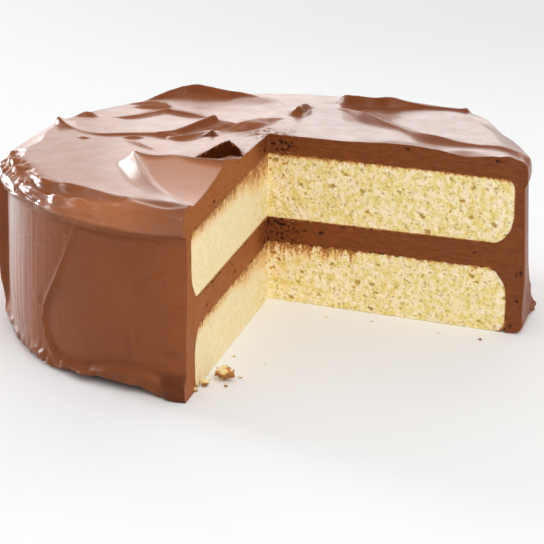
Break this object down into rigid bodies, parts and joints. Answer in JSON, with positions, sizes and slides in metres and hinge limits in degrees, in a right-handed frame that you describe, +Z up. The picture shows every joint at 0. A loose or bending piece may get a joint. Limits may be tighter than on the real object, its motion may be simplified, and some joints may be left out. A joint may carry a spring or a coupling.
{
  "type": "layer cake",
  "caption": "Round two-layer sponge cake with chocolate frosting and filling, a quarter cut out, for tables, bakery cases and kitchen scenes.",
  "frame": {"origin": "middle of the bounding box at the plane the cake stands on", "axes": "+Z up; the open quarter lies between -Y and +X"},
  "size_m": [0.2417, 0.2418, 0.086],
  "materials": {
    "sponge": "matte, open crumb",
    "frosting": "soft satin"
  },
  "bodies": {
    "root": {"lower_layer": "sponge", "filling": "frosting", "upper_layer": "sponge", "frosting": "frosting"}
  },
  "joints": []
}
